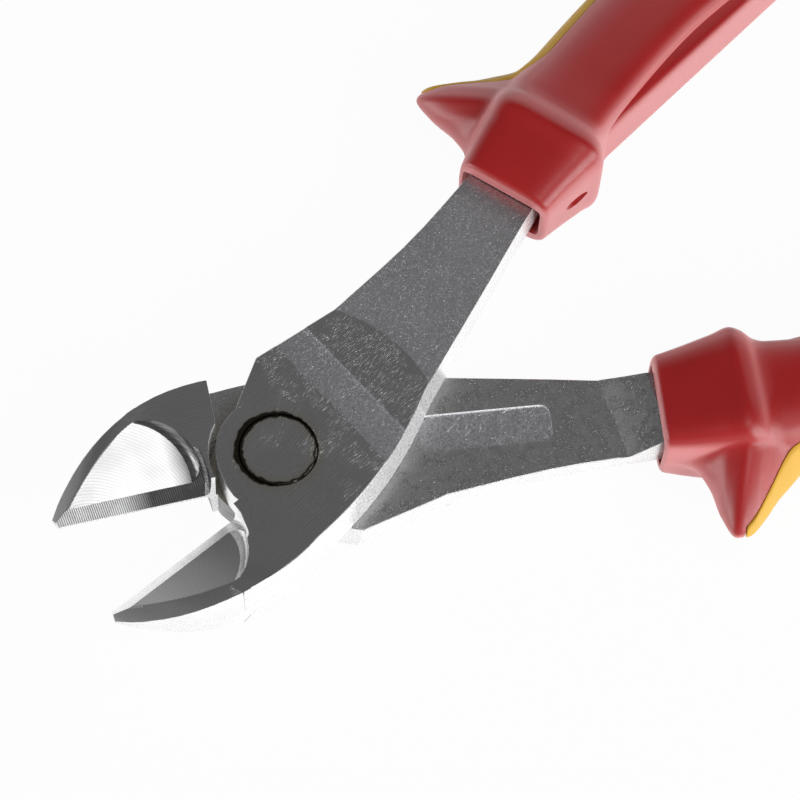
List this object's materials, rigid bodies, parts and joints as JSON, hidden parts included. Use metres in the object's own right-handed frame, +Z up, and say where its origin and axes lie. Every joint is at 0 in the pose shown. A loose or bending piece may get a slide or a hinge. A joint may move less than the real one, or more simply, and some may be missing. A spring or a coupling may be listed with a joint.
{
  "type": "diagonal cutter",
  "caption": "High-leverage diagonal cutter: lapped forged steel halves on a flush rivet, hollow-ground bevelled jaws, and insulated red grips with flared finger guards and soft yellow pads.",
  "frame": {"origin": "On the pivot axis, at the rivet's flush upper face.", "axes": "+X from the pivot to the blade tips along the middle of the open tool, +Z up along the pivot axis, +Y to the front half's jaw."},
  "size_m": [0.2413, 0.145, 0.0226],
  "materials": {
    "forged_steel": "chrome-plated forged tool steel, ground on the joint and milled on the jaws",
    "rivet_steel": "steel rivet ground flush with the joint face",
    "red_plastic": "moulded red insulating plastic, satin",
    "yellow_soft_plastic": "moulded soft yellow elastomer",
    "core_plastic": "hard insulating plastic, hidden inside the grip"
  },
  "bodies": {
    "back": {"back_half": "forged_steel", "pivot_rivet": "rivet_steel", "back_grip_core": "core_plastic", "back_grip_sleeve": "red_plastic", "back_grip_pad": "yellow_soft_plastic"},
    "front": {"front_half": "forged_steel", "front_grip_core": "core_plastic", "front_grip_sleeve": "red_plastic", "front_grip_pad": "yellow_soft_plastic"}
  },
  "joints": [
    {"name": "jaw_pivot", "type": "hinge", "parent": "back", "child": "front", "pos_m": [0, 0, -0.0072], "axis": [0, 0, 1], "range_deg": [-26.6, 28.4]}
  ]
}
